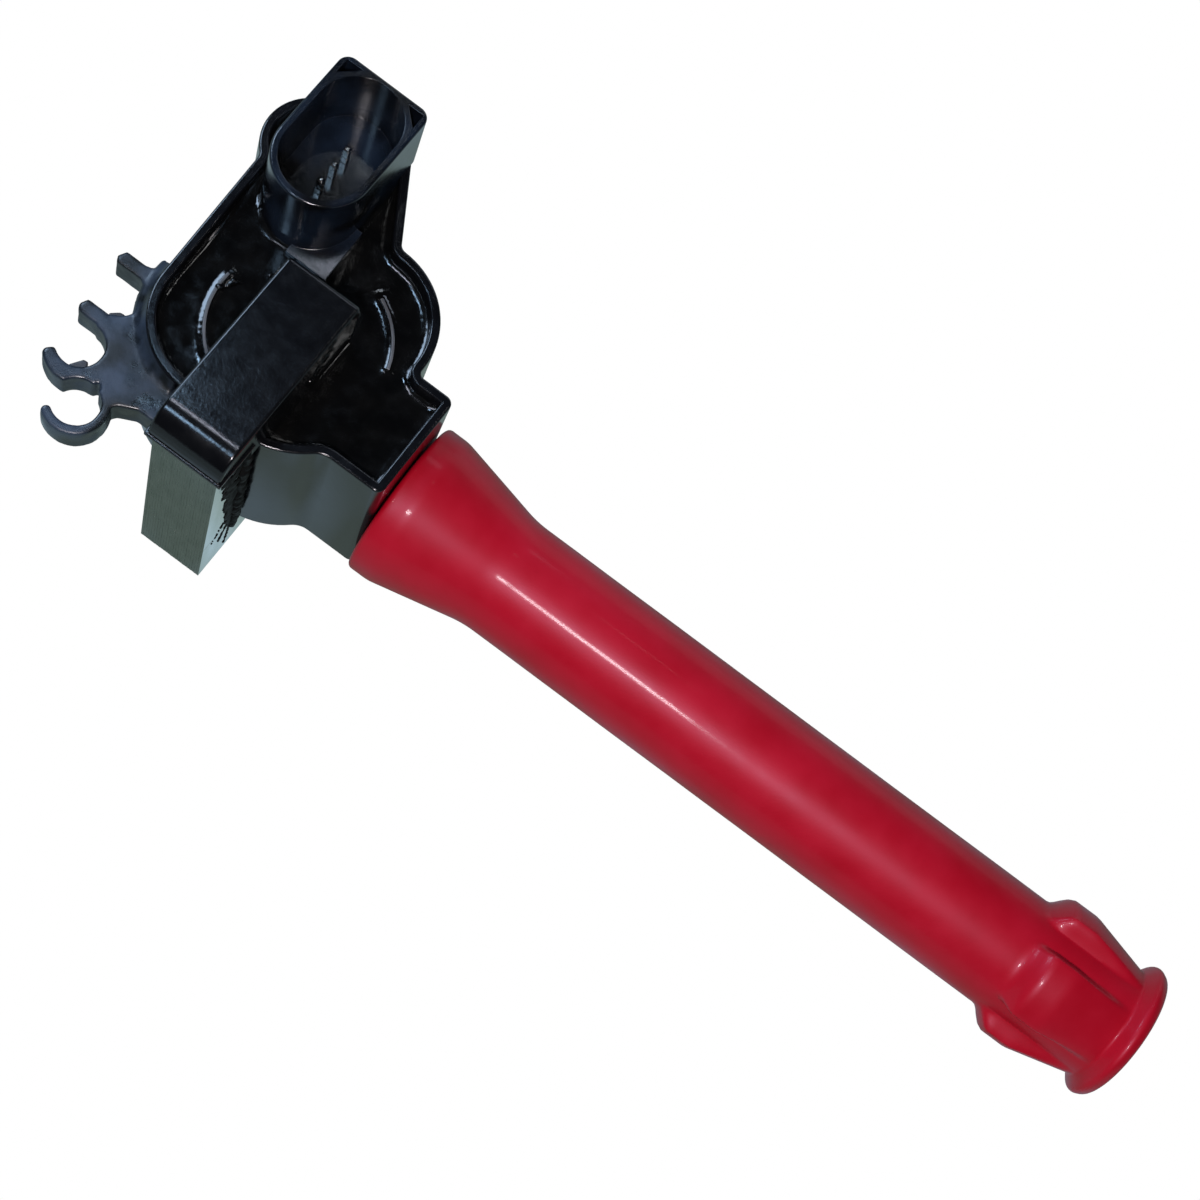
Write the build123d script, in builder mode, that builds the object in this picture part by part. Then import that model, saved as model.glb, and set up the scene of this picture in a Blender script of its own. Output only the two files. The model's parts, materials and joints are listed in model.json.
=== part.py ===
from build123d import *
import os

os.makedirs("parts", exist_ok=True)

# Ignition coil with a long plug boot, a lead comb and a potted, open-topped tray.
# Millimetres. The boot's axis is X, with the spark plug's end towards +X. The origin is on that
# axis, in the boot's sealing collar. +Z points out of the tray's open face and +Y points from
# the lead comb's side towards the connector's side.

# ---- Driving dimensions ----

# Boot, along X
boot_start = -0.8
boot_end = 147.6
collar_radius = 14.0
collar_end = 3.4
collar_edge_radius = 0.7
taper_end = 20.0
tube_radius = 10.3
rib_start = 124.7
rib_crest_start = 128.2
rib_crest_end = 133.0
rib_end = 143.7
rib_radius = 13.2
rib_width_deg = 61.0
rib_first_deg = 30.0
rib_count = 4
lip_start = 143.9
lip_crest = 145.7
lip_radius = 12.7
plug_bore_radius = 5.2
plug_bore_start = 113.4
mouth_chamfer = 1.2
collar_blend_radius = 8.0
tube_blend_radius = 20.0
lip_root_radius = 0.8
lip_edge_radius = 1.0
lip_set_back = 0.9

# Tray
tray_bottom = -12.5
tray_rim = 22.5
floor_thickness = 1.8
wall = 1.6
tray_left = -49.9
tray_far = 39.8
end_wall_x = -1.0
end_box_near = -9.8
end_box_far = 10.2
lobe_centre = (-43.9, 31.0)
lobe_radius = 8.8
near_left_corner = (-35.0, -1.0, 13.9)
near_right_corner = (-24.0, 0.5, 15.8)
far_right_corner = (-22.3, 11.6, 14.2)
arm_corner = (-30.9, tray_far)
arm_slope_end = (-16.1, 14.2)
end_box_length = 14.0
tray_corners = [
    (*arm_corner, 1.7),
    (end_wall_x, end_box_near, 1.5),
    (end_wall_x, end_box_far, 1.5),
    (-22.8, 25.8, 1.5),
    (-8.1, end_box_far, 1.0),
    (-12.0, end_box_near, 4.0),
    (tray_left, 24.4, 2.0),
]
rim_radius = 0.35
well_wall_growth = 3.0
well_bore_growth = 0.5

# Tower that carries the boot
tower_radius = 8.0
tower_end = 22.0
tower_chamfer = 0.8

# Core, a closed loop in the YZ plane, stacked along X
core_x = -26.8
core_stack = 12.0
limb_thickness = 8.0
limb_far = 8.5
core_near = -25.0
core_top = 32.0
core_bottom = -21.3
core_joint = -8.0
core_bend = 4.5
magnet_thickness = 1.0

# Coil
coil_x = core_x
coil_y = limb_far - limb_thickness / 2
coil_top = 17.0
flange_thickness = 0.8
primary_bore_radius = 8.9
primary_tube_radius = 9.7
primary_wire_radius = 11.1
primary_flange_radius = 11.2
secondary_bore_radius = 11.4
secondary_tube_radius = 12.3
secondary_wire_radius = 14.2
secondary_flange_radius = 15.0
secondary_sections = 4
ridge_top = 20.0
ridge_thickness = 0.45
ridge_spans_deg = [(17.0, 48.0), (175.0, 65.0)]
potting_top = 19.5

# Connector
connector_left = -47.0
connector_right = -30.3
connector_far = 41.0
connector_mouth = 36.0
connector_floor = 23.2
socket_width = 14.3
mouth_wall = 1.2
skin = 1.0
mouth_radius = 0.4
connector_corner_radius = 2.0
socket_length = 23.3
pin_first_y = 24.8
pin_pitch = 3.5
pin_tip = 27.5
tongue_x = (-37.0, -29.2)
tongue_near = 14.4
tongue_near_top = 20.3
tongue_far_top = 22.3
relief_depth = 9.0
relief_leg = 2.9

# Lead comb
comb_bottom = 14.5
comb_top = 20.0
slot_radius = 3.8
slot_centres = [Vector(-52.2, -7.6), Vector(-51.6, -18.1), Vector(-46.3, -26.0)]
prong_tip_x = -56.4

# Small gaps
slip = 0.03
running = 0.1
fit_gap = 0.05
axial_gap = 0.3

# ---- Values worked out from them ----

floor_top = tray_bottom + floor_thickness
well_top = coil_top + 0.5
limb_near = limb_far - limb_thickness
yoke_bottom = core_top - limb_thickness
lower_yoke_top = core_bottom + limb_thickness
outer_limb_inner = core_near + limb_thickness
connector_x = (connector_left + connector_right) / 2
connector_round_radius = (connector_right - connector_left) / 2
connector_round_y = 24.0
socket_y = connector_round_y - connector_round_radius + mouth_wall + socket_length / 2


def round_corner(sketch, x, y, radius):
    """Fillet the vertex of a sketch that lies nearest to x, y."""
    fillet(sketch.vertices().sort_by_distance((x, y, 0))[0], radius)


def tray_section(height, inset=0.0):
    """The tray's outline at a height, moved inwards by inset."""
    with BuildSketch() as drum:
        for x, y, radius in (near_left_corner, near_right_corner, far_right_corner):
            with Locations((x, y)):
                Circle(radius)
        make_hull()
    with BuildSketch() as outline:
        add(drum.sketch)
        with Locations(lobe_centre):
            Circle(lobe_radius)
        with BuildLine():
            Polyline(
                (near_left_corner[0] - near_left_corner[2], near_left_corner[1]),
                (tray_left, lobe_centre[1]),
                (lobe_centre[0], tray_far),
                arm_corner,
                arm_slope_end,
                near_right_corner[:2],
                close=True,
            )
        make_face()
        with Locations((end_wall_x - end_box_length / 2, (end_box_near + end_box_far) / 2)):
            Rectangle(end_box_length, end_box_far - end_box_near)
        for corner in tray_corners:
            round_corner(outline, *corner)
        if inset:
            offset(amount=-inset, mode=Mode.REPLACE)
    return Plane.XY.offset(height) * outline.sketch


def well_section(height, growth=0.0):
    """The rounded rectangle round the core's centre limb."""
    with BuildSketch(Plane.XY.offset(height)) as section:
        with Locations((core_x, coil_y)):
            RectangleRounded(core_stack + growth, limb_thickness + growth, 0.3 + growth / 3)
    return section.sketch


def connector_section(height, inset=0.0):
    """The connector's outline: half round on the near side, square on the far side."""
    with BuildSketch(Plane.XY.offset(height)) as section:
        with Locations((connector_x, connector_round_y)):
            Circle(connector_round_radius)
        with Locations((connector_x, (connector_round_y + connector_far) / 2)):
            Rectangle(2 * connector_round_radius, connector_far - connector_round_y)
        for x in (connector_left, connector_right):
            round_corner(section, x, connector_far, connector_corner_radius)
        if inset:
            offset(amount=-inset, mode=Mode.REPLACE)
    return section.sketch


def ring(inner_radius, outer_radius, bottom, top):
    """A ring about the coil's axis."""
    with BuildPart() as solid:
        with BuildSketch(Plane.XY.offset(bottom)):
            with Locations((coil_x, coil_y)):
                Circle(outer_radius)
                Circle(inner_radius, mode=Mode.SUBTRACT)
        extrude(amount=top - bottom)
    return solid.part


def rod(radius, start, end, bore=0.0):
    """A round rod or tube along the boot's axis."""
    with BuildPart() as solid:
        with BuildSketch(Plane.YZ.offset(start)):
            Circle(radius)
            if bore:
                Circle(bore, mode=Mode.SUBTRACT)
        extrude(amount=end - start)
    return solid.part


def block(low, high):
    """A box from its lowest to its highest corner."""
    with BuildPart() as solid:
        with Locations(tuple((a + b) / 2 for a, b in zip(low, high))):
            Box(*(b - a for a, b in zip(low, high)))
    return solid.part


# ---- High-tension parts in the tower and the boot ----

terminal_radius = 1.5
head_radius = 3.4
head_end = 24.0
resistor_end = 52.0
cap_length = 4.0
sleeve_slack = 0.2
sleeve_bore = 4.1
sleeve_radius = 7.2
sleeve_end = plug_bore_start - sleeve_slack
sleeve_lip = 0.6
contact_radius = sleeve_bore - running
contact_end = sleeve_end - sleeve_lip - axial_gap
contact_length = 8.5
contact_socket_radius = 3.2
contact_socket_depth = 6.5
contact_chamfer = 0.25
spring_wire_radius = 0.4
spring_radius = 2.9
spring_pitch = 3.0
resistor_radius = 3.0
cap_radius = 3.5
potted_pin_start = -8.5

# Brass pin from the potted end box through the tower, with a flat head for the resistor
with BuildPart() as hv_terminal:
    add(rod(terminal_radius, potted_pin_start, tower_end + slip))
    add(rod(head_radius, tower_end + slip, head_end))

# Ceramic body of the suppression resistor
with BuildPart() as resistor_body:
    add(rod(resistor_radius, head_end + cap_length / 2, resistor_end - cap_length / 2))

# Pressed metal caps on the resistor's ends
with BuildPart() as resistor_caps:
    for start, end in ((head_end, head_end + cap_length), (resistor_end - cap_length, resistor_end)):
        add(rod(cap_radius, start, end))
    add(resistor_body.part, mode=Mode.SUBTRACT)

# Socket that slides in the sleeve and grips the spark plug's terminal nut
with BuildPart() as plug_contact:
    add(rod(contact_radius, contact_end - contact_length, contact_end))
    add(rod(contact_socket_radius, contact_end - contact_socket_depth, contact_end), mode=Mode.SUBTRACT)
    chamfer(plug_contact.faces().sort_by(Axis.X)[-1].edges().filter_by(GeomType.CIRCLE), contact_chamfer)

# Coil spring between the resistor and the sliding socket
spring_start = resistor_end + spring_wire_radius
spring_height = contact_end - contact_length - spring_wire_radius - spring_start
with BuildPart() as contact_spring:
    with BuildLine() as spring_line:
        Helix(spring_pitch, spring_height, spring_radius, center=(spring_start, 0, 0), direction=(1, 0, 0))
    with BuildSketch(Plane(origin=spring_line.line @ 0, z_dir=spring_line.line % 0)):
        Circle(spring_wire_radius)
    sweep(is_frenet=True)

# Stiff insulating sleeve inside the boot's straight tube
with BuildPart() as insulator_sleeve:
    add(rod(sleeve_radius, tower_end + sleeve_slack, sleeve_end, bore=sleeve_bore))
    add(rod(sleeve_bore, sleeve_end - sleeve_lip, sleeve_end, bore=contact_socket_radius + sleeve_slack))

# ---- Boot ----

with BuildPart() as boot:
    with BuildSketch() as boot_profile:
        with BuildLine():
            Polyline(
                (boot_start, tower_radius + slip),
                (boot_start, collar_radius),
                (collar_end, collar_radius),
                (taper_end, tube_radius),
                (lip_start, tube_radius),
                (lip_crest, lip_radius),
                (boot_end, lip_radius - lip_set_back),
                (boot_end, plug_bore_radius + mouth_chamfer),
                (boot_end - mouth_chamfer, plug_bore_radius),
                (plug_bore_start, plug_bore_radius),
                (plug_bore_start, sleeve_radius + slip),
                (tower_end + running, sleeve_radius + slip),
                (tower_end + running, tower_radius + slip),
                close=True,
            )
        make_face()
        round_corner(boot_profile, boot_start, collar_radius, collar_edge_radius)
        round_corner(boot_profile, collar_end, collar_radius, collar_blend_radius)
        round_corner(boot_profile, taper_end, tube_radius, tube_blend_radius)
        round_corner(boot_profile, lip_start, tube_radius, lip_root_radius)
        round_corner(boot_profile, lip_crest, lip_radius, lip_edge_radius)
        round_corner(boot_profile, boot_end, lip_radius - lip_set_back, lip_edge_radius)
    revolve(axis=Axis.X)
    for index in range(rib_count):
        turn = rib_first_deg + index * 360 / rib_count - rib_width_deg / 2
        with BuildSketch(Plane.XY.rotated((turn, 0, 0))) as rib_profile:
            with BuildLine():
                Polyline(
                    (rib_start, tube_radius - 1),
                    (rib_start, tube_radius),
                    (rib_crest_start, rib_radius),
                    (rib_crest_end, rib_radius),
                    (rib_end, tube_radius + 0.2),
                    (rib_end + 0.6, tube_radius - 1),
                    close=True,
                )
            make_face()
        revolve(axis=Axis.X, revolution_arc=rib_width_deg)

# ---- Tray housing ----

with BuildPart() as housing:
    extrude(tray_section(tray_bottom), amount=tray_rim - tray_bottom)
    extrude(
        tray_section(floor_top, wall),
        amount=tray_rim - floor_top,
        mode=Mode.SUBTRACT,
    )
    fillet(housing.faces().sort_by(Axis.Z)[-1].edges(), rim_radius)
    extrude(well_section(tray_bottom, well_wall_growth), amount=well_top - tray_bottom)
    extrude(well_section(tray_bottom, well_bore_growth), amount=well_top - tray_bottom, mode=Mode.SUBTRACT)
    add(rod(tower_radius, end_wall_x - wall / 2, tower_end))
    add(rod(terminal_radius + slip, end_wall_x - 2 * wall, tower_end), mode=Mode.SUBTRACT)
    chamfer(housing.faces().sort_by(Axis.X)[-1].edges().sort_by(Edge.length)[-1], tower_chamfer)

# ---- Core ----

with BuildPart() as core_upper:
    with BuildSketch(Plane.YZ.offset(core_x - core_stack / 2)) as upper_profile:
        with BuildLine():
            Polyline(
                (limb_far, lower_yoke_top + magnet_thickness + slip),
                (limb_far, core_top),
                (core_near, core_top),
                (core_near, core_joint + slip),
                (outer_limb_inner, core_joint + slip),
                (outer_limb_inner, yoke_bottom),
                (limb_near, yoke_bottom),
                (limb_near, lower_yoke_top + magnet_thickness + slip),
                close=True,
            )
        make_face()
        round_corner(upper_profile, core_near, core_top, core_bend)
    extrude(amount=core_stack)

with BuildPart() as core_lower:
    with BuildSketch(Plane.YZ.offset(core_x - core_stack / 2)):
        with BuildLine():
            Polyline(
                (limb_far, lower_yoke_top),
                (limb_far, core_bottom),
                (core_near, core_bottom),
                (core_near, core_joint),
                (outer_limb_inner, core_joint),
                (outer_limb_inner, lower_yoke_top),
                close=True,
            )
        make_face()
    extrude(amount=core_stack)

with BuildPart() as gap_magnet:
    add(
        block(
            (core_x - core_stack / 2, limb_near, lower_yoke_top),
            (core_x + core_stack / 2, limb_far, lower_yoke_top + magnet_thickness),
        )
    )

# Black moulded saddle over the top yoke and its outer bend
shroud_thickness = 0.7
shroud_half = core_stack / 2 + shroud_thickness
shroud_skirt = 27.0
shroud_far_rest = -12.6
shroud_hollow_end = -14.0
shroud_edge_radius = 0.5
with BuildPart() as core_shroud:
    with BuildSketch(Plane.YZ.offset(core_x - shroud_half)) as shroud_profile:
        with BuildLine():
            Polyline(
                (limb_far + shroud_thickness, potting_top + 0.1),
                (limb_far + shroud_thickness, core_top + shroud_thickness),
                (core_near - shroud_thickness, core_top + shroud_thickness),
                (core_near - shroud_thickness, shroud_skirt),
                (outer_limb_inner, shroud_skirt),
                (outer_limb_inner, tray_rim + 0.2),
                (shroud_far_rest, tray_rim + 0.2),
                (shroud_far_rest, potting_top + 0.1),
                close=True,
            )
        make_face()
        round_corner(
            shroud_profile,
            core_near - shroud_thickness,
            core_top + shroud_thickness,
            core_bend + shroud_thickness,
        )
        round_corner(shroud_profile, limb_far + shroud_thickness, core_top + shroud_thickness, 1.0)
    extrude(amount=2 * shroud_half)
    top_corners = core_shroud.edges().filter_by(GeomType.LINE).filter_by(Axis.Y).group_by(Axis.Z)[-1]
    fillet(top_corners, shroud_edge_radius)
    with BuildSketch(Plane.YZ.offset(core_x - core_stack / 2)) as shroud_hollow:
        with BuildLine():
            Polyline(
                (limb_far, potting_top),
                (limb_far, core_top),
                (core_near, core_top),
                (core_near, shroud_skirt - 1),
                (shroud_hollow_end, shroud_skirt - 6),
                (shroud_hollow_end, potting_top),
                close=True,
            )
        make_face()
        round_corner(shroud_hollow, core_near, core_top, core_bend)
    extrude(amount=core_stack, mode=Mode.SUBTRACT)

# ---- Connector ----

# Three stamped terminals: a pin in the socket and a strip to the coil under the potting
strip_thickness = 0.6
strip_width = 1.0
strip_z = 17.9
terminals = []
strip_runs = [(-34.5, 11.6, 15.5), (-32.5, 13.4, 15.5), (-30.5, 17.4, 15.5)]
for index, (run_x, run_end_y, leg_end_z) in enumerate(strip_runs):
    pin_y = pin_first_y + index * pin_pitch
    half = strip_width / 2
    with BuildPart() as terminal:
        add(block((connector_x - half, pin_y - half, strip_z), (connector_x + half, pin_y + half, pin_tip)))
        chamfer(terminal.faces().sort_by(Axis.Z)[-1].edges(), 0.3)
        add(
            block(
                (connector_x - half, pin_y - half, strip_z),
                (run_x + half, pin_y + half, strip_z + strip_thickness),
            )
        )
        add(
            block(
                (run_x - half, run_end_y - half, strip_z),
                (run_x + half, pin_y + half, strip_z + strip_thickness),
            )
        )
        add(
            block(
                (run_x - half, run_end_y - half, leg_end_z),
                (run_x + half, run_end_y - half + strip_thickness, strip_z + strip_thickness),
            )
        )
    terminals.append(terminal.part)

tail_bottom = 13.0
tail_top = 19.4
tail_inset = 1.4
with BuildPart() as shell_foot:
    extrude(connector_section(tail_top), amount=tray_rim - tail_top)
    extrude(tray_section(tail_top, wall + fit_gap), amount=tray_rim - tail_top, mode=Mode.INTERSECT)

with BuildPart() as shell_tail:
    extrude(connector_section(tail_bottom, tail_inset), amount=tail_top - tail_bottom)
    extrude(tray_section(tail_bottom, wall + fit_gap), amount=tail_top - tail_bottom, mode=Mode.INTERSECT)

with BuildPart() as connector_shell:
    extrude(connector_section(tray_rim), amount=connector_mouth - tray_rim)
    fillet(connector_shell.faces().sort_by(Axis.Z)[-1].edges(), mouth_radius)
    add(shell_foot.part)
    add(shell_tail.part)
    with BuildSketch(Plane.YZ.offset(tongue_x[0])):
        with BuildLine():
            Polyline(
                (tongue_near, potting_top),
                (tongue_near, tongue_near_top),
                (connector_round_y, tongue_far_top),
                (connector_round_y, potting_top),
                close=True,
            )
        make_face()
    extrude(amount=tongue_x[1] - tongue_x[0])
    with BuildSketch(Plane.XY.offset(connector_floor)):
        with Locations((connector_x, socket_y)):
            SlotOverall(socket_length, socket_width, rotation=90)
    extrude(amount=connector_mouth - connector_floor + 1, mode=Mode.SUBTRACT)
    # relief pockets in the two far corners of the mouth
    relief_y = connector_far - skin
    with BuildSketch(Plane.XY.offset(connector_mouth - relief_depth)):
        for corner_x, side in ((connector_left + skin, 1), (connector_right - skin, -1)):
            with BuildLine():
                Polyline(
                    (corner_x, relief_y),
                    (corner_x + side * relief_leg, relief_y),
                    (corner_x, relief_y - relief_leg),
                    close=True,
                )
            make_face()
    extrude(amount=relief_depth + 1, mode=Mode.SUBTRACT)
    for terminal_part in terminals:
        add(terminal_part, mode=Mode.SUBTRACT)

# ---- Coil ----

with BuildPart() as primary_bobbin:
    add(ring(primary_bore_radius, primary_tube_radius, floor_top, coil_top))
    add(ring(primary_tube_radius, primary_flange_radius, floor_top, floor_top + flange_thickness))
    add(ring(primary_tube_radius, primary_flange_radius, coil_top - flange_thickness, coil_top))
    for terminal_part in terminals[:2]:
        add(terminal_part, mode=Mode.SUBTRACT)

wire_bottom = floor_top + flange_thickness
wire_top = coil_top - flange_thickness
with BuildPart() as primary_winding:
    add(ring(primary_tube_radius, primary_wire_radius, wire_bottom, wire_top))
    for terminal_part in terminals[:2]:
        add(terminal_part, mode=Mode.SUBTRACT)

ridge_root = coil_top - flange_thickness / 2
section_pitch = (coil_top - floor_top - flange_thickness) / secondary_sections
with BuildPart() as secondary_bobbin:
    add(ring(secondary_bore_radius, secondary_tube_radius, floor_top, coil_top))
    for index in range(secondary_sections + 1):
        bottom = floor_top + index * section_pitch
        add(ring(secondary_tube_radius, secondary_flange_radius, bottom, bottom + flange_thickness))
    for start_deg, span_deg in ridge_spans_deg:
        ridge_plane = Plane(
            origin=(coil_x, coil_y, 0),
            x_dir=Vector(1, 0, 0).rotate(Axis.Z, start_deg),
            z_dir=Vector(0, -1, 0).rotate(Axis.Z, start_deg),
        )
        with BuildSketch(ridge_plane):
            with Locations((secondary_flange_radius - ridge_thickness / 2, (ridge_root + ridge_top) / 2)):
                Rectangle(ridge_thickness, ridge_top - ridge_root)
        revolve(axis=Axis((coil_x, coil_y, 0), (0, 0, 1)), revolution_arc=span_deg)
    add(terminals[2], mode=Mode.SUBTRACT)

with BuildPart() as secondary_winding:
    for index in range(secondary_sections):
        bottom = floor_top + index * section_pitch + flange_thickness
        top = bottom + section_pitch - flange_thickness
        add(ring(secondary_tube_radius, secondary_wire_radius, bottom, top))
    add(terminals[2], mode=Mode.SUBTRACT)

# High-voltage diode standing in the end box, between the winding's wire and the brass pin
diode_x = -7.0
diode_radius = 1.6
diode_bottom = -8.4
diode_height = 6.0
diode_wire_radius = 0.4
diode_wire_bottom = -9.6
lead_radius = 0.3
lead_start = -13.4
lead_z = -9.2
with BuildPart() as hv_diode:
    with BuildSketch(Plane.XY.offset(diode_bottom)):
        with Locations((diode_x, 0)):
            Circle(diode_radius)
    extrude(amount=diode_height)
    with BuildSketch(Plane.XY.offset(diode_wire_bottom)):
        with Locations((diode_x, 0)):
            Circle(diode_wire_radius)
    extrude(amount=-diode_wire_bottom - terminal_radius + fit_gap)
    add(hv_terminal.part, mode=Mode.SUBTRACT)

with BuildPart() as hv_lead:
    with BuildSketch(Plane.YZ.offset(lead_start)):
        with Locations((0, lead_z)):
            Circle(lead_radius)
    extrude(amount=diode_x - lead_radius - lead_start)
    add(hv_diode.part, mode=Mode.SUBTRACT)
    add(secondary_winding.part, mode=Mode.SUBTRACT)

# ---- Potting resin: fills the tray round every piece below its surface ----

with BuildPart() as potting:
    extrude(tray_section(floor_top, wall), amount=potting_top - floor_top)
    with BuildSketch(Plane.XY.offset(floor_top)):
        with Locations((coil_x, coil_y)):
            Circle(secondary_flange_radius)
    extrude(amount=coil_top - floor_top, mode=Mode.SUBTRACT)
    extrude(well_section(floor_top, well_wall_growth), amount=well_top - floor_top, mode=Mode.SUBTRACT)
    embedded = [core_upper, secondary_bobbin, connector_shell, hv_diode, hv_lead, hv_terminal]
    for piece in embedded:
        add(piece.part, mode=Mode.SUBTRACT)
    for terminal_part in terminals:
        add(terminal_part, mode=Mode.SUBTRACT)

# ---- Lead comb: three open slots for neighbouring spark-plug leads ----

prong_width = 2.4
hook_tip_deg = 226.0
hook_width = 2.1
hook_cut_reach = 20.0
hook_disc_centre = (-50.9, -18.5)
hook_disc_radius = 6.1
last_hook_width = 1.6
last_hook_sweep_deg = 200.0
comb_near = -21.2
hook_direction = Vector(1, 0).rotate(Axis.Z, hook_tip_deg)
hook_cut = slot_centres[1] + hook_direction * hook_cut_reach
hook_tips = [
    (slot_centres[1] + hook_direction * slot_radius, 0.6),
    (slot_centres[1] + hook_direction * (slot_radius + hook_width), 0.9),
    (slot_centres[2] + hook_direction * slot_radius, 0.6),
    (slot_centres[2] + hook_direction * (slot_radius + last_hook_width), 0.7),
]
with BuildPart() as lead_comb:
    with BuildSketch(Plane.XY.offset(comb_bottom)) as comb_profile:
        # web between the slots, the tray's wall and the saddle
        with BuildLine():
            ThreePointArc((-52.2, -1.4), (-50.2, -0.5), (-49.0, 1.6))
            Polyline(
                (-49.0, 1.6),
                (-40.0, 1.6),
                (core_x - shroud_half, -10.0),
                (core_x - shroud_half, comb_near),
                (-38.2, comb_near),
                (-40.9, comb_near - 1.4),
                (-42.5, comb_near - 3.3),
                (-46.6, -20.0),
                (-47.6, -14.5),
                (-51.0, -12.0),
                (-51.0, -3.8),
                (-52.2, -1.4),
            )
        make_face()
        # two straight prongs with slanted tips
        for tip_x, top_y in ((prong_tip_x, -1.4), (prong_tip_x + 0.5, -11.5)):
            with BuildLine():
                Polyline(
                    (-46.0, top_y),
                    (tip_x + 0.7, top_y),
                    (tip_x, top_y - 0.6 * prong_width),
                    (tip_x + 0.5, top_y - prong_width),
                    (-46.0, top_y - prong_width),
                    close=True,
                )
            make_face()
        # thin curled hook round the third slot
        with BuildLine():
            CenterArc(
                slot_centres[2],
                slot_radius + last_hook_width / 2,
                hook_tip_deg,
                last_hook_sweep_deg,
            )
        trace(line_width=last_hook_width)
        # thick hook between the second and third slots, tapering to its tip
        with Locations(hook_disc_centre):
            Circle(hook_disc_radius)
        with BuildLine():
            Polyline(
                slot_centres[1],
                (hook_cut.X, hook_cut.Y),
                (hook_cut.X, -14.0),
                (slot_centres[1].X, -14.0),
                close=True,
            )
        make_face(mode=Mode.SUBTRACT)
        with Locations(*slot_centres):
            Circle(slot_radius, mode=Mode.SUBTRACT)
        for tip, radius in hook_tips:
            round_corner(comb_profile, tip.X, tip.Y, radius)
    extrude(amount=comb_top - comb_bottom)
    extrude(tray_section(comb_bottom), amount=comb_top - comb_bottom, mode=Mode.SUBTRACT)

# ---- Export ----

pieces = {
    "housing": housing,
    "lead_comb": lead_comb,
    "connector_shell": connector_shell,
    "potting": potting,
    "core_upper": core_upper,
    "core_lower": core_lower,
    "core_shroud": core_shroud,
    "gap_magnet": gap_magnet,
    "primary_bobbin": primary_bobbin,
    "primary_winding": primary_winding,
    "secondary_bobbin": secondary_bobbin,
    "secondary_winding": secondary_winding,
    "hv_diode": hv_diode,
    "hv_lead": hv_lead,
    "hv_terminal": hv_terminal,
    "resistor_body": resistor_body,
    "resistor_caps": resistor_caps,
    "contact_spring": contact_spring,
    "plug_contact": plug_contact,
    "insulator_sleeve": insulator_sleeve,
    "boot": boot,
}
for name, piece in pieces.items():
    piece.part.label = name
    export_step(piece.part, f"parts/{name}.step")
for index, terminal_part in enumerate(terminals):
    terminal_part.label = f"terminal_{index + 1}"
    export_step(terminal_part, f"parts/terminal_{index + 1}.step")
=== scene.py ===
import json
import math
import random

import bmesh
import bpy
from mathutils import Matrix, Vector, kdtree, noise


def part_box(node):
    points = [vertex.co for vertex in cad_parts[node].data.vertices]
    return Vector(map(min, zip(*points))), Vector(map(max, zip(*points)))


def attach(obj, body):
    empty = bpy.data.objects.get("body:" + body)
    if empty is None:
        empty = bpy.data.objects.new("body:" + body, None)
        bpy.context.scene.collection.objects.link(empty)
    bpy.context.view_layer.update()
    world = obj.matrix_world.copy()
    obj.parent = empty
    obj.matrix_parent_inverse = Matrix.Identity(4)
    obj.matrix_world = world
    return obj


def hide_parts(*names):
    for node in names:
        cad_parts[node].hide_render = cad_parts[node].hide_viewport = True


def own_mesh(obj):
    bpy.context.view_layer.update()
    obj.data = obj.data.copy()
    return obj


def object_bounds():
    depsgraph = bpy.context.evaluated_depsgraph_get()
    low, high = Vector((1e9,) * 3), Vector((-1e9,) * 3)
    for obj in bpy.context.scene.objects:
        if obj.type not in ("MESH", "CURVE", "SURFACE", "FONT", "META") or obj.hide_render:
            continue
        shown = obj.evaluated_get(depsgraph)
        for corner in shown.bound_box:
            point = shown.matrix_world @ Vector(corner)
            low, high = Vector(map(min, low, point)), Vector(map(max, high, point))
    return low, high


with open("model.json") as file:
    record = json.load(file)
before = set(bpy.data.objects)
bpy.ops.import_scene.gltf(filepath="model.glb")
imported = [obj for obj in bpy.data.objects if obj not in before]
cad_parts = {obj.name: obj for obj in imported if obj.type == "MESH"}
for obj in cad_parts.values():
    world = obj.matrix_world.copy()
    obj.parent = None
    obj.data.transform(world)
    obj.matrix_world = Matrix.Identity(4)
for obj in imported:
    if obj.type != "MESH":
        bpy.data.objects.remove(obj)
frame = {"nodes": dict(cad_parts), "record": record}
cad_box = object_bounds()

# Looks of an ignition coil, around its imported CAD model. Metres, in the model's own frame:
# X is the boot's axis towards the plug, +Y is the connector's side, +Z is the tray's open face.

MM = 0.001
nodes = frame["nodes"]

# A Mix node has several sockets called A, B and Result: these are its colour ones.
MIX_A, MIX_B, MIX_RESULT = 6, 7, 2


# ---- Camera ----


def look_from(place, target, up):
    """A matrix for something at place that looks at target along its own -Z."""
    forward = (target - place).normalized()
    right = forward.cross(up).normalized()
    axes = Matrix((right, right.cross(forward), -forward)).transposed()
    return Matrix.Translation(place) @ axes.to_4x4()


camera = bpy.data.objects.new("camera", bpy.data.cameras.new("camera"))
bpy.context.scene.collection.objects.link(camera)
bpy.context.scene.camera = camera
camera.data.lens = 70.5
camera.data.sensor_width = 36.0
camera.data.clip_start = 0.01
camera.data.dof.use_dof = False
camera.matrix_world = look_from(
    Vector((32.5, -132.4, 362.1)) * MM,
    Vector((35.9, 6.6, 0.0)) * MM,
    Vector((-0.597, 0.751, 0.283)),
)


# ---- Materials ----


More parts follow.
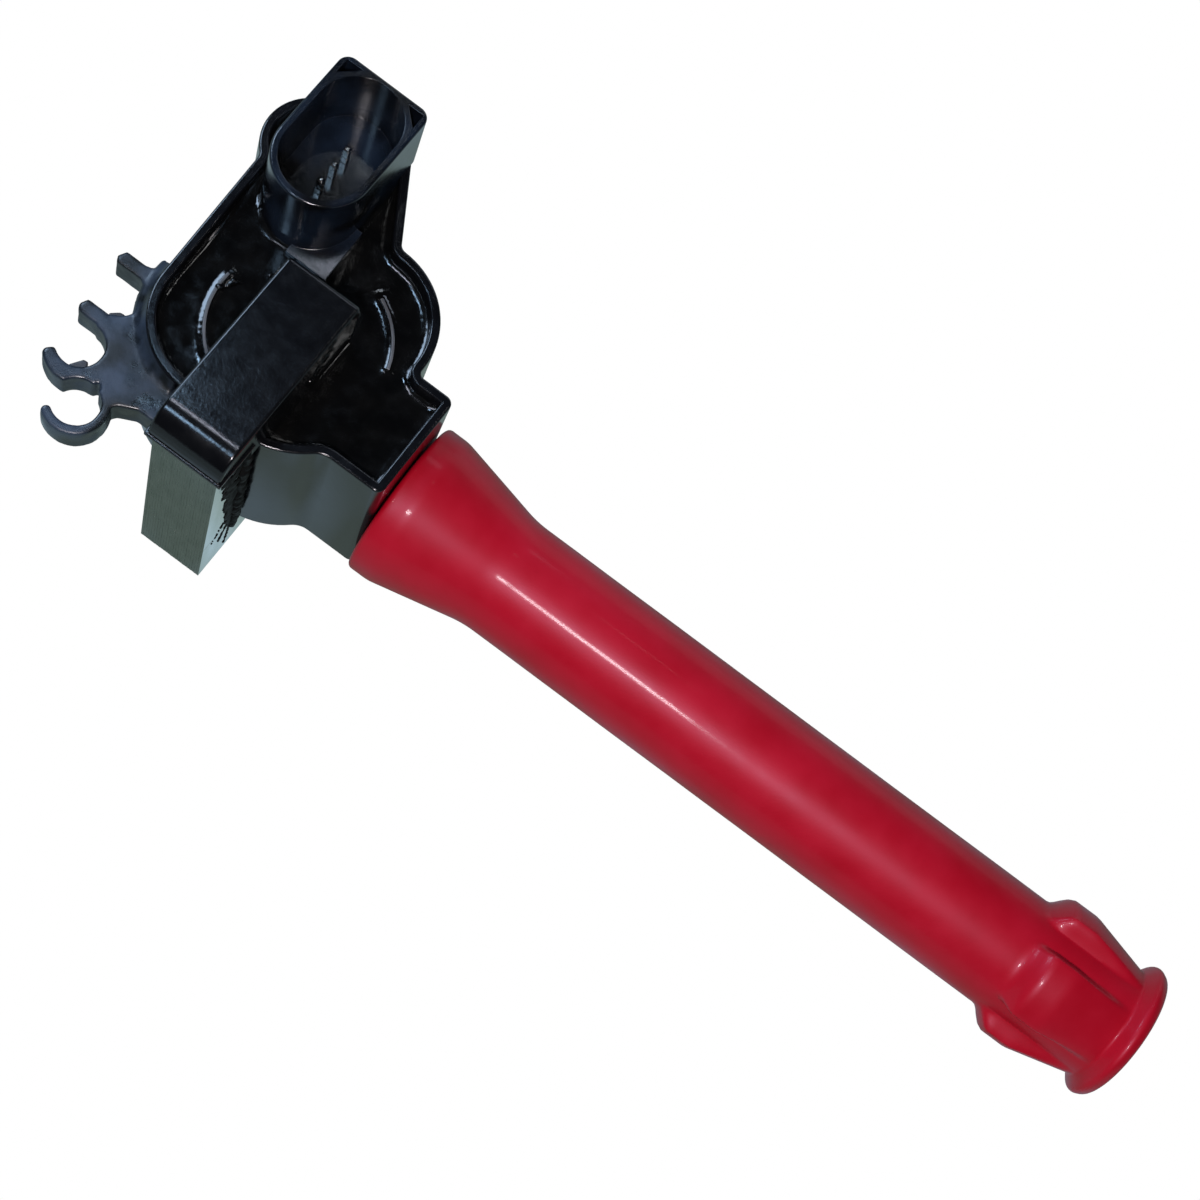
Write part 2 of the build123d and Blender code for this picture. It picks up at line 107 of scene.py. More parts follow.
class Graph:
    """A material's node graph, with short calls for the nodes used here."""

    def __init__(self, name):
        self.material = bpy.data.materials.new(name)
        self.material.use_nodes = True
        self.nodes = self.material.node_tree.nodes
        self.shader = self.nodes["Principled BSDF"]
        self.place = self.add("ShaderNodeTexCoord").outputs["Object"]

    def add(self, kind, **settings):
        node = self.nodes.new(kind)
        for key, value in settings.items():
            setattr(node, key, value)
        return node

    def join(self, source, target):
        self.material.node_tree.links.new(source, target)

    def noise(self, size, detail=3.0, stretch=(1, 1, 1)):
        """Noise whose lumps are about size metres, stretched along the axes."""
        mapping = self.add("ShaderNodeMapping")
        mapping.inputs["Scale"].default_value = [1 / (size * s) for s in stretch]
        self.join(self.place, mapping.inputs["Vector"])
        texture = self.add("ShaderNodeTexNoise")
        texture.inputs["Scale"].default_value = 1.0
        texture.inputs["Detail"].default_value = detail
        self.join(mapping.outputs["Vector"], texture.inputs["Vector"])
        return texture.outputs["Fac"]

    def waves(self, size, axis, distortion=0.0):
        """Bands of the given pitch along an axis."""
        texture = self.add("ShaderNodeTexWave", bands_direction=axis)
        texture.inputs["Scale"].default_value = math.pi / 10 / size
        texture.inputs["Distortion"].default_value = distortion
        self.join(self.place, texture.inputs["Vector"])
        return texture.outputs["Fac"]

    def spread(self, source, low, high, start=0.3, end=0.7):
        """Maps a source from start..end to low..high."""
        node = self.add("ShaderNodeMapRange")
        for socket, value in (("From Min", start), ("From Max", end), ("To Min", low), ("To Max", high)):
            node.inputs[socket].default_value = value
        self.join(source, node.inputs["Value"])
        return node.outputs["Result"]

    def times(self, a, b):
        node = self.add("ShaderNodeMath", operation="MULTIPLY")
        self.join(a, node.inputs[0])
        self.join(b, node.inputs[1])
        return node.outputs["Value"]

    def mix(self, factor, a, b):
        """Mixes two colours, given as RGB or as sockets."""
        node = self.add("ShaderNodeMix", data_type="RGBA")
        self.join(factor, node.inputs["Factor"])
        for socket, value in zip((node.inputs[MIX_A], node.inputs[MIX_B]), (a, b)):
            if isinstance(value, tuple):
                socket.default_value = (*value, 1.0)
            else:
                self.join(value, socket)
        return node.outputs[MIX_RESULT]

    def bump(self, height, depth, normal=None):
        node = self.add("ShaderNodeBump")
        node.inputs["Distance"].default_value = depth
        self.join(height, node.inputs["Height"])
        if normal:
            self.join(normal, node.inputs["Normal"])
        return node.outputs["Normal"]

    def edges(self, radius):
        """1 on sharp outer edges and 0 on flat faces, and the rounded normal."""
        bevel = self.add("ShaderNodeBevel", samples=6)
        bevel.inputs["Radius"].default_value = radius
        dot = self.add("ShaderNodeVectorMath", operation="DOT_PRODUCT")
        self.join(bevel.outputs["Normal"], dot.inputs[0])
        self.join(self.add("ShaderNodeNewGeometry").outputs["Normal"], dot.inputs[1])
        return self.spread(dot.outputs["Value"], 1.0, 0.0, 0.8, 0.995), bevel.outputs["Normal"]


def surface(
    name,
    dark,
    light,
    rough,
    patch=6 * MM,
    grain=0.3 * MM,
    depth=0.01 * MM,
    worn=None,
    rounding=0.25 * MM,
    stretch=(1, 1, 1),
    lines=None,
    contrast=(0.3, 0.7),
    **sockets,
):
    """A material with patchy colour, varied roughness, grain and worn, rounded edges."""
    graph = Graph(name)
    patches = graph.noise(patch, detail=5.0, stretch=stretch)
    colour = graph.mix(graph.spread(patches, 0.0, 1.0, *contrast), dark, light)
    edge, normal = graph.edges(rounding)
    if worn:
        rubbed = graph.times(edge, graph.spread(graph.noise(patch / 3), 0.0, 1.0, 0.4, 0.6))
        colour = graph.mix(rubbed, colour, worn)
    graph.join(colour, graph.shader.inputs["Base Color"])
    speckle = graph.noise(patch / 2, detail=6.0, stretch=stretch)
    graph.join(graph.spread(speckle, rough[0], rough[1]), graph.shader.inputs["Roughness"])
    normal = graph.bump(graph.noise(grain, stretch=stretch), depth, normal)
    if lines:
        pitch, axis, line_depth = lines
        normal = graph.bump(graph.waves(pitch, axis), line_depth, normal)
    graph.join(normal, graph.shader.inputs["Normal"])
    for socket, value in sockets.items():
        graph.shader.inputs[socket.replace("_", " ")].default_value = value
    return graph.material


BLACK = (0.0025, 0.0027, 0.0034)
materials = {
    "moulded_plastic": surface(
        "moulded_plastic", BLACK, (0.0045, 0.005, 0.0065), (0.10, 0.20),
        grain=0.8 * MM, depth=0.012 * MM, worn=(0.014, 0.016, 0.022),
    ),
    # The comb's lighter blue patches are painted blue reflections on its black plastic.
    "comb_plastic_painted_blue_reflections": surface(
        "comb_plastic_painted_blue_reflections", (0.005, 0.007, 0.008), (0.028, 0.042, 0.066), (0.20, 0.52),
        patch=7 * MM, grain=0.6 * MM, depth=0.02 * MM, worn=(0.022, 0.030, 0.042),
        contrast=(0.42, 0.62),
    ),
    "saddle_plastic": surface(
        "saddle_plastic", BLACK, (0.0045, 0.0048, 0.0055), (0.12, 0.19), patch=5 * MM,
        grain=0.7 * MM, depth=0.015 * MM, worn=(0.007, 0.007, 0.009),
    ),
    # The connector's lighter blue patches are a painted blue reflection. They are meant for the inside of
    # its socket and are spread over the whole shell.
    "connector_plastic_painted_blue_reflections": surface(
        "connector_plastic_painted_blue_reflections", BLACK, (0.010, 0.017, 0.030), (0.12, 0.22), patch=10 * MM,
        grain=0.8 * MM, depth=0.012 * MM, worn=(0.014, 0.016, 0.022), contrast=(0.42, 0.7),
    ),
    "potting_resin": surface(
        "potting_resin", (0.0016, 0.0017, 0.0018), (0.0035, 0.0034, 0.0032), (0.04, 0.16),
        patch=4 * MM, grain=1.5 * MM, depth=0.02 * MM,
    ),
    # Dark resin for the limb's streaks, and for the film and seam that paint the shade by the limb.
    "dried_resin_and_painted_shade": surface(
        "dried_resin_and_painted_shade", (0.0015, 0.0016, 0.0018), (0.004, 0.0038, 0.0036), (0.45, 0.75),
        patch=2 * MM, grain=0.4 * MM, depth=0.03 * MM, Specular_IOR_Level=0.12,
    ),
    "core_steel": surface(
        "core_steel", (0.088, 0.116, 0.092), (0.132, 0.164, 0.134), (0.26, 0.38),
        patch=5 * MM, grain=0.15 * MM, depth=0.01 * MM, worn=(0.3, 0.32, 0.3),
        rounding=0.12 * MM, stretch=(0.3, 1, 1), Metallic=0.55,
    ),
    "sheet_steel": surface(
        "sheet_steel", (0.74, 0.78, 0.68), (0.96, 0.98, 0.92), (0.05, 0.14), patch=4 * MM,
        grain=0.2 * MM, depth=0.006 * MM, stretch=(1, 0.5, 2), Metallic=1.0,
    ),
    "magnet": surface("magnet", (0.25, 0.25, 0.26), (0.4, 0.4, 0.41), (0.25, 0.4), Metallic=1.0),
    "bobbin_plastic": surface(
        "bobbin_plastic", (0.05, 0.052, 0.055), (0.10, 0.10, 0.105), (0.3, 0.45), grain=0.2 * MM,
        worn=(0.25, 0.26, 0.27),
    ),
    "copper_wire": surface(
        "copper_wire", (0.45, 0.15, 0.06), (0.72, 0.30, 0.14), (0.2, 0.35),
        lines=(0.3 * MM, "Z", 0.1 * MM), Metallic=1.0,
    ),
    "tinned_terminal": surface(
        "tinned_terminal", (0.50, 0.49, 0.46), (0.72, 0.71, 0.68), (0.12, 0.3), patch=1.5 * MM,
        grain=0.1 * MM, depth=0.004 * MM, worn=(0.85, 0.84, 0.8), rounding=0.1 * MM, Metallic=1.0,
    ),
    "brass": surface(
        "brass", (0.50, 0.33, 0.12), (0.75, 0.55, 0.25), (0.15, 0.32), patch=2 * MM,
        lines=(0.12 * MM, "X", 0.004 * MM), worn=(0.85, 0.7, 0.4), rounding=0.12 * MM, Metallic=1.0,
    ),
    "ceramic": surface(
        "ceramic", (0.62, 0.59, 0.53), (0.78, 0.76, 0.70), (0.15, 0.3), Coat_Weight=0.5,
    ),
    "spring_steel": surface(
        "spring_steel", (0.25, 0.25, 0.26), (0.5, 0.5, 0.51), (0.2, 0.35), patch=1 * MM,
        grain=0.05 * MM, depth=0.003 * MM, Metallic=1.0,
    ),
    "sleeve_plastic": surface(
        "sleeve_plastic", (0.02, 0.02, 0.022), (0.05, 0.05, 0.055), (0.35, 0.5), grain=0.4 * MM,
    ),
    "boot_rubber": surface(
        "boot_rubber", (0.40, 0.0025, 0.013), (0.46, 0.005, 0.020), (0.40, 0.48), patch=9 * MM,
        grain=0.35 * MM, depth=0.008 * MM, worn=(0.5, 0.03, 0.06), rounding=0.3 * MM,
        Specular_IOR_Level=0.32, Specular_Tint=(1.0, 0.62, 0.85, 1.0),
        Coat_Weight=0.10, Coat_Roughness=0.11,
    ),
}
for part in frame["record"]["subparts"]:
    slots = nodes[part["node"]].data.materials
    slots.clear()
    slots.append(materials[part["material_slot"]])
nodes["core_shroud"].data.materials[0] = materials["saddle_plastic"]
# The connector shell takes the plastic with a painted blue reflection.
nodes["connector_shell"].data.materials[0] = materials["connector_plastic_painted_blue_reflections"]


# ---- Pieces made here ----


def piece(name, bm, material, body="coil", instead_of=(), sharp_deg=32):
    """Turns a bmesh into a smooth-shaded object that rides on a body."""
    bmesh.ops.remove_doubles(bm, verts=bm.verts, dist=0.001 * MM)
    bmesh.ops.recalc_face_normals(bm, faces=bm.faces)
    mesh = bpy.data.meshes.new(name)
    bm.to_mesh(mesh)
    bm.free()
    mesh.shade_smooth()
    mesh.set_sharp_from_angle(angle=math.radians(sharp_deg))
    mesh.materials.append(materials[material])
    thing = bpy.data.objects.new(name, mesh)
    bpy.context.scene.collection.objects.link(thing)
    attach(thing, body)
    if instead_of:
        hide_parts(*instead_of)
    return thing


def skin(bm, rings, closed=False):
    """Joins rings of points, all of one length, with quads."""
    made = [[bm.verts.new(point) for point in ring] for ring in rings]
    pairs = list(zip(made, made[1:]))
    if closed:
        pairs.append((made[-1], made[0]))
    for ring, following in pairs:
        for i in range(len(ring)):
            j = (i + 1) % len(ring)
            bm.faces.new((ring[i], ring[j], following[j], following[i]))
    if not closed:
        bm.faces.new(made[0])
        bm.faces.new(made[-1])


def smoothstep(value, start, end):
    t = min(max((value - start) / (end - start), 0.0), 1.0)
    return t * t * (3 - 2 * t)


def rounded(corners, steps=6):
    """A closed outline in the plane whose corners, (x, y, radius), are rounded by arcs."""
    outline = []
    for index, (x, y, radius) in enumerate(corners):
        corner = Vector((x, y))
        before = Vector(corners[index - 1][:2]) - corner
        after = Vector(corners[(index + 1) % len(corners)][:2]) - corner
        if radius == 0:
            outline.append(corner)
            continue
        half = before.angle(after) / 2
        reach = radius / math.tan(half)
        start = corner + before.normalized() * reach
        end = corner + after.normalized() * reach
        middle = corner + (before.normalized() + after.normalized()).normalized() * radius / math.sin(half)
        first = start - middle
        turn = first.angle_signed(end - middle)
        for step in range(steps + 1):
            spin = Matrix.Rotation(-turn * step / steps, 2)
            outline.append(middle + spin @ first)
    return outline


def spaced(outline, pitch):
    """The same closed outline with points added so that none are further apart than pitch."""
    dense = []
    for index, point in enumerate(outline):
        following = outline[(index + 1) % len(outline)]
        count = max(1, math.ceil((following - point).length / pitch))
        dense += [point.lerp(following, k / count) for k in range(count)]
    return dense


# ---- Boot: one skin turned about X, with four ribs that swell out of the tube ----

boot_low, boot_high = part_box("boot")
collar_radius = 14.0 * MM
tube_radius = 10.3 * MM
rib_rise = 2.9 * MM
rib_spans = (124.5 * MM, 128.4 * MM, 132.6 * MM, 144.0 * MM)
rib_half_deg = 30.5
rib_side = 1.7 * MM
rib_first_deg = 30
waviness = 0.02 * MM
bore_radius = 5.2 * MM
sleeve_fit = 7.23 * MM
tower_fit = 8.03 * MM
tower_end = 22.1 * MM
bore_start = 113.4 * MM


def rib_height(x):
    start, crest_start, crest_end, end = rib_spans
    rise = smoothstep(x, start, crest_start)
    fall = 1 - min(max((x - crest_end) / (end - crest_end), 0.0), 1.0)
    return rib_rise * rise * fall


def boot_piece():
    start, end = boot_low.x, boot_high.x
    corners = [
        (start, tower_fit, 0),
        (start, collar_radius, 0.9 * MM),
        (3.4 * MM, collar_radius, 8 * MM),
        (20 * MM, tube_radius, 20 * MM),
        (end - 3.7 * MM, tube_radius, 0.9 * MM),
        (end - 1.9 * MM, 12.7 * MM, 1.0 * MM),
        (end, 11.8 * MM, 1.2 * MM),
        (end, bore_radius + 1.2 * MM, 0.4 * MM),
        (end - 1.2 * MM, bore_radius, 0.4 * MM),
        (bore_start, bore_radius, 0),
        (bore_start, sleeve_fit, 0),
        (tower_end, sleeve_fit, 0),
        (tower_end, tower_fit, 0),
    ]
    columns = 224
    rings = []
    for x, radius in spaced(rounded(corners), 0.8 * MM):
        ring = []
        for column in range(columns):
            angle = 2 * math.pi * column / columns
            grown = radius
            if radius > 9 * MM:
                offset = (math.degrees(angle) - rib_first_deg + 45) % 90 - 45
                side = (rib_half_deg - abs(offset)) * math.pi / 180 * radius
                grown += rib_height(x) * smoothstep(side, -rib_side / 2, rib_side / 2)
                round_place = Vector((math.cos(angle), math.sin(angle), 0))
                grown += waviness * noise.noise(Vector((x, 0, 0)) * 90 + round_place)
            ring.append((x, grown * math.cos(angle), grown * math.sin(angle)))
        rings.append(ring)
    bm = bmesh.new()
    skin(bm, rings, closed=True)
    return piece("boot_skin", bm, "boot_rubber", instead_of=["boot"])


boot_piece()

# ---- Core halves: stacks of laminations ----

lamination = 0.5 * MM


def lamination_stack(name, node, outline):
    """Slabs in the YZ plane, stacked along X over the CAD node's width."""
    low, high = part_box(node)
    count = round((high.x - low.x) / lamination)
    pitch = (high.x - low.x) / count
    shifts = random.Random(7)
    bm = bmesh.new()
    for index in range(count):
        x = low.x + index * pitch
        dy = shifts.uniform(-0.02, 0.02) * MM
        dz = shifts.uniform(-0.03, 0.0) * MM
        rings = []
        centre = Vector(((low.y + high.y) / 2, (low.z + high.z) / 2))
        for edge, shrink in ((0.0, 0.03), (0.06, 0.0), (0.88, 0.0), (0.94, 0.03)):
            ring = []
            for y, z in outline:
                inward = (centre - Vector((y, z))).normalized() * shrink * MM
                ring.append((x + edge * pitch, y + dy + inward.x, z + dz + inward.y))
            rings.append(ring)
        skin(bm, rings)
    stack = piece(name, bm, "core_steel", instead_of=[node], sharp_deg=20)
    stack.data.materials.append(materials["sheet_steel"])
    for face in stack.data.polygons:
        outermost = min(face.center.x - low.x, high.x - face.center.x) < 0.1 * pitch
        if outermost and abs(face.normal.x) > 0.99:
            face.material_index = 1
    return stack


limb = 8.0 * MM
upper_low, upper_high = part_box("core_upper")
lower_low, lower_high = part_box("core_lower")
joint_z = lower_high.z + 0.03 * MM
lamination_stack(
    "core_upper_laminations",
    "core_upper",
    rounded([
        (upper_high.y, upper_low.z, 0),
        (upper_high.y, upper_high.z, 0),
        (upper_low.y, upper_high.z, 4.5 * MM),
        (upper_low.y, joint_z, 0),
        (upper_low.y + limb, joint_z, 0),
        (upper_low.y + limb, upper_high.z - limb, 0),
        (upper_high.y - limb, upper_high.z - limb, 0),
        (upper_high.y - limb, upper_low.z, 0),
    ]),
)
lamination_stack(
    "core_lower_laminations",
    "core_lower",
    rounded([
        (lower_high.y, lower_low.z + limb, 0),
        (lower_high.y, lower_low.z, 0),
        (lower_low.y, lower_low.z, 0),
        (lower_low.y, lower_high.z, 0),
        (lower_low.y + limb, lower_high.z, 0),
        (lower_low.y + limb, lower_low.z + limb, 0),
    ]),
)

# ---- Resin: its top creeps up every wall it touches ----


def resin_piece():
    low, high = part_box("potting")
    bm = bmesh.new()
    bm.from_mesh(nodes["potting"].data)
    hidden = [
        face for face in bm.faces
        if face.calc_center_median().z < high.z - 0.01 * MM or abs(face.normal.z) < 0.9
    ]
    bmesh.ops.delete(bm, geom=hidden, context="FACES")
    bmesh.ops.remove_doubles(bm, verts=bm.verts, dist=0.001 * MM)
    pitch = 0.6 * MM
    for axis in (0, 1):
        normal = Vector((1, 0, 0)) if axis == 0 else Vector((0, 1, 0))
        for cut in range(1, int((high[axis] - low[axis]) / pitch)):
            place = low + normal * pitch * cut
            geometry = bm.verts[:] + bm.edges[:] + bm.faces[:]
            bmesh.ops.bisect_plane(bm, geom=geometry, plane_co=place, plane_no=normal)
    walls = [edge for edge in bm.edges if len(edge.link_faces) == 1]
    points = []
    for edge in walls:
        a, b = edge.verts[0].co, edge.verts[1].co
        count = max(1, round((b - a).length / (0.2 * MM)))
        points += [a.lerp(b, k / count) for k in range(count + 1)]
    tree = kdtree.KDTree(len(points))
    for index, point in enumerate(points):
        tree.insert(point, index)
    tree.balance()
    for vertex in bm.verts:
        away = tree.find(vertex.co)[2]
        swell = noise.noise(vertex.co * 140) * 0.06 * MM * smoothstep(away, 0, 2 * MM)
        vertex.co.z += 0.3 * MM * math.exp(-away / (0.5 * MM)) + swell - 0.05 * MM
    kept = bmesh.ops.extrude_face_region(bm, geom=bm.faces[:], use_keep_orig=True)
    for item in kept["geom"]:
        if isinstance(item, bmesh.types.BMVert):
            item.co.z = high.z - 3 * MM
    return piece("resin", bm, "potting_resin", instead_of=["potting"], sharp_deg=60)


resin_piece()

# ---- Comb: moulded soft, with a fillet to the drum and two nibs for the leads ----

drum_centre = Vector((-35.0, -1.0)) * MM
drum_radius = 13.9 * MM
slot_places = [Vector(mount["pos_m"]) for mount in frame["record"]["mounts"] if mount["kind"] == "clamp"]


def soften(thing, voxel, rounds):
    """Rounds a solid's edges all over: a fine remesh, then smoothing."""
    remesh = thing.modifiers.new("remesh", "REMESH")
    remesh.mode = "VOXEL"
    remesh.voxel_size = voxel
    remesh.use_smooth_shade = True
    smooth = thing.modifiers.new("smooth", "SMOOTH")
    smooth.factor = 0.5
    smooth.iterations = rounds


def wedge(bm, low_corner, points, height):
    """A prism over a plane polygon."""
    skin(bm, [[(x, y, z) for x, y in points] for z in (low_corner, low_corner + height)])


def comb_piece():
    low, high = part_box("lead_comb")
    bm = bmesh.new()
    bm.from_mesh(nodes["lead_comb"].data)
    fillet = 2.2 * MM
    rings = []
    for degrees in range(172, 266, 3):
        out = Vector((math.cos(math.radians(degrees)), math.sin(math.radians(degrees)), 0))
        root = drum_centre.to_3d() + out * (drum_radius - 0.4 * MM)
        section = [(0.0, -1.0 * MM), (0.0, fillet)]
        for step in range(1, 6):
            turn = math.radians(90 * step / 6)
            section.append((fillet * (1 - math.cos(turn)) + 0.4 * MM, fillet * (1 - math.sin(turn))))
        section.append((fillet + 0.4 * MM, -1.0 * MM))
        rings.append([root + out * away + Vector((0, 0, high.z + up)) for away, up in section])
    skin(bm, rings)
    # The comb's plastic carries painted blue reflections.
    comb = piece("comb_moulding", bm, "comb_plastic_painted_blue_reflections", instead_of=["lead_comb"])
    soften(comb, 0.22 * MM, 10)
    swell = bpy.data.textures.new("comb_swell", "CLOUDS")
    swell.noise_scale = 5 * MM
    waves = comb.modifiers.new("swell", "DISPLACE")
    waves.texture = swell
    waves.strength = 0.22 * MM


comb_piece()


def nib_pieces():
    low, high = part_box("lead_comb")
    for index, height in ((0, 0.7 * MM), (1, 1.5 * MM)):
        x, y, _ = slot_places[index]
        root = y - 3.8 * MM
        points = [
            (x + 0.9 * MM, root - 0.8 * MM),
            (x + 3.4 * MM, root + 0.5 * MM),
            (x + 2.7 * MM, root + 0.8 * MM + height),
            (x + 1.9 * MM, root + 0.7 * MM + height),
            (x + 0.7 * MM, root + 0.3 * MM),
        ]
        bm = bmesh.new()
        wedge(bm, low.z + 0.8 * MM, points, high.z - low.z - 1.4 * MM)
        nib = piece(f"lead_nib_{index + 1}", bm, "sleeve_plastic")
        soften(nib, 0.12 * MM, 4)


nib_pieces()

# ---- Resin residue: beads and runs where resin was spilt and squeezed out; a black film and seam on the limb paint the shade of its gap ----


def beads(name, drops, flat=(1, 1, 1), finish="potting_resin"):
    """Lumpy drops, (x, y, z, radius) in millimetres, run together into one skin."""
    bm = bmesh.new()
    for index, (x, y, z, radius) in enumerate(drops):
        made = bmesh.ops.create_icosphere(bm, subdivisions=3, radius=radius * MM)
        for vertex in made["verts"]:
            shift = 0.3 * noise.noise(vertex.co / MM * 1.3 + Vector((index, 1, 0)))
            vertex.co = Vector(c * f for c, f in zip(vertex.co * (1 + shift), flat))
            vertex.co += Vector((x, y, z)) * MM
    lump = piece(name, bm, finish)
    soften(lump, 0.14 * MM, 3)


def run(start, end, count, radius, wander, seed):
    """Drops along a line, with uneven sizes and places."""
    chance = random.Random(seed)
    drops = []
    for step in range(count):
        middle = Vector(start).lerp(Vector(end), step / max(count - 1, 1))
        shake = [chance.uniform(-w, w) for w in wander]
        drops.append((*(middle + Vector(shake)), radius * chance.uniform(0.6, 1.25)))
    return drops


resin_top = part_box("potting")[1].z / MM
limb_side = upper_high.x / MM
limb_back = (upper_low.y + limb) / MM
saddle_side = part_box("core_shroud")[1].x / MM
beads(
    "yoke_beads",
    run((saddle_side, 2.6, 31.0), (saddle_side, -2.0, 24.5), 16, 0.6, (0.1, 0.7, 0.3), 3),
    flat=(0.45, 1.0, 1.0),
)
beads(
    "yoke_smear",
    run((saddle_side - 0.6, 4.6, 31.6), (saddle_side - 0.4, 8.4, 31.6), 7, 0.6, (0.3, 0.2, 0.1), 4),
    flat=(1.2, 1.2, 0.5),
)
beads(
    "ridge_bead",
    run((-41.3, 2.9, resin_top), (-39.6, 5.9, resin_top), 6, 0.55, (0.2, 0.1, 0.1), 5),
)
beads(
    "tongue_bead",
    run((-36.4, 9.6, resin_top), (-34.9, 15.6, resin_top), 12, 0.35, (0.15, 0.1, 0.1), 8),
)


def limb_film_painted_shade():
    """A ragged black resin film on the limb's flat side, narrow at its foot and wide at the top. It is
    painted shade of the gap by the drum and under the saddle.
    """
    chance = random.Random(11)
    drops = []
    top, bottom = 22.0, -9.0
    foot_width, added_width, inset = 0.8, 4.6, 0.7
    count = 150
    for index in range(count):
        z = bottom + (top - bottom) * index / (count - 1)
        width = foot_width + added_width * (z - bottom) / (top - bottom)
        y = upper_low.y / MM + limb / MM - inset - width * chance.random()
        drops.append((limb_side, y, z + chance.uniform(-0.5, 0.5), chance.uniform(0.5, 1.0)))
    beads("limb_film_painted_shade", drops, (0.2, 1.0, 1.4), "dried_resin_and_painted_shade")


limb_film_painted_shade()
# Black beads along the seam between limb and drum: squeezed-out resin that also paints the shade of the
# gap.
seam_top = (limb_side + 0.2, limb_back + 0.1, 22.0)
seam_foot = (limb_side + 0.1, limb_back, -11.5)
seam_painted_shade_drops = run(seam_top, seam_foot, 44, 0.9, (0.2, 0.3, 0.3), 12)
beads("limb_seam_painted_shade", seam_painted_shade_drops, (0.8, 1.0, 1.4), "dried_resin_and_painted_shade")

# Each streak starts by the seam at a height, and ends further from it and lower.
streaks = ((-1.0, -5.4, -9.5), (-6.0, -3.4, -13.5), (-11.0, -1.2, -19.0))
for index, (top_z, reach_y, end_z) in enumerate(streaks):
    start = (limb_side, limb_back - 0.6, top_z)
    end = (limb_side, limb_back + reach_y, end_z)
    drops = run(start, end, 22, 0.32, (0, 0.15, 0.3), 20 + index)
    beads(f"limb_streak_{index + 1}", drops, (0.4, 1, 1.3), "dried_resin_and_painted_shade")

# ---- Lip round the saddle's skirt ----


def saddle_lip():
    low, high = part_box("core_shroud")
    skirt_z = 27.0 * MM
    proud = 0.35 * MM
    gap = 0.02 * MM
    back = upper_low.y + limb
    outer = [
        (low.x - proud, back), (low.x - proud, low.y - proud),
        (high.x + proud, low.y - proud), (high.x + proud, back),
    ]
    inner = [
        (upper_high.x + gap, back), (upper_high.x + gap, upper_low.y - gap),
        (upper_low.x - gap, upper_low.y - gap), (upper_low.x - gap, back),
    ]
    bm = bmesh.new()
    wedge(bm, skirt_z - 0.1 * MM, outer + inner, 0.9 * MM)
    lip = piece("saddle_lip", bm, "saddle_plastic")
    soften(lip, 0.15 * MM, 3)


saddle_lip()

# ---- Contact spring: a helix with closed ends, the part that the contact squeezes as it slides in ----


def spring_piece():
    low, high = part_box("contact_spring")
    wire = 0.4 * MM
    radius = high.y - wire
    turns, closed_turns, steps = 18, 1.25, 28
    start, end = low.x + wire, high.x - wire
    rings = []
    total = turns * steps
    share = []
    for step in range(total + 1):
        turn = step / steps
        open_end = smoothstep(turn, closed_turns - 0.5, closed_turns + 0.5)
        open_end *= 1 - smoothstep(turn, turns - closed_turns - 0.5, turns - closed_turns + 0.5)
        share.append(2 * wire + open_end * 2.4 * MM)
    climb, length = 0.0, sum(share[1:])
    for step in range(total + 1):
        climb += share[step] if step else 0.0
        angle = 2 * math.pi * step / steps
        out = Vector((0, math.cos(angle), math.sin(angle)))
        along = Vector((0, -math.sin(angle), math.cos(angle)))
        slope = share[step] / (2 * math.pi * radius)
        side = out.cross((along + Vector((slope, 0, 0))).normalized())
        centre = Vector((start + (end - start) * climb / length, 0, 0)) + out * radius
        rings.append([
            centre + (out * math.cos(a) + side * math.sin(a)) * wire
            for a in (2 * math.pi * k / 10 for k in range(10))
        ])
    bm = bmesh.new()
    skin(bm, rings)
    spring = piece("spring_coil", bm, "spring_steel", instead_of=["contact_spring"])
    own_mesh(spring)


spring_piece()

# ---- Floor and lights ----

white = (1.0, 1.0, 1.0, 1.0)
bounce = (0.23, 0.30, 0.28, 1.0)
bright_bounce = (0.36, 0.49, 0.58, 1.0)


def two_faced(tree, output, seen, felt, kind, varied=None):
    """A plain light to the camera, and another to all other rays, patchy where varied is given."""
    links = tree.links
    mix = tree.nodes.new("ShaderNodeMixShader")
    links.new(tree.nodes.new("ShaderNodeLightPath").outputs["Is Camera Ray"], mix.inputs["Fac"])
    for index, colour in ((1, felt), (2, seen)):
        shader = tree.nodes.new(kind)
        shader.inputs["Color"].default_value = colour
        if varied and colour == felt:
            texture = tree.nodes.new("ShaderNodeTexNoise")
            texture.inputs["Scale"].default_value = 1 / (24 * MM)
            texture.inputs["Detail"].default_value = 1.0
            links.new(tree.nodes.new("ShaderNodeNewGeometry").outputs["Position"], texture.inputs["Vector"])
            spread = tree.nodes.new("ShaderNodeMapRange")
            spread.inputs["From Min"].default_value = 0.4
            spread.inputs["From Max"].default_value = 0.6
            links.new(texture.outputs["Fac"], spread.inputs["Value"])
            shades = tree.nodes.new("ShaderNodeMix")
            shades.data_type = "RGBA"
            shades.inputs[MIX_A].default_value = felt
            shades.inputs[MIX_B].default_value = varied
            links.new(spread.outputs["Result"], shades.inputs["Factor"])
            links.new(shades.outputs[MIX_RESULT], shader.inputs["Color"])
        links.new(shader.outputs[0], mix.inputs[index])
    links.new(mix.outputs[0], output.inputs["Surface"])


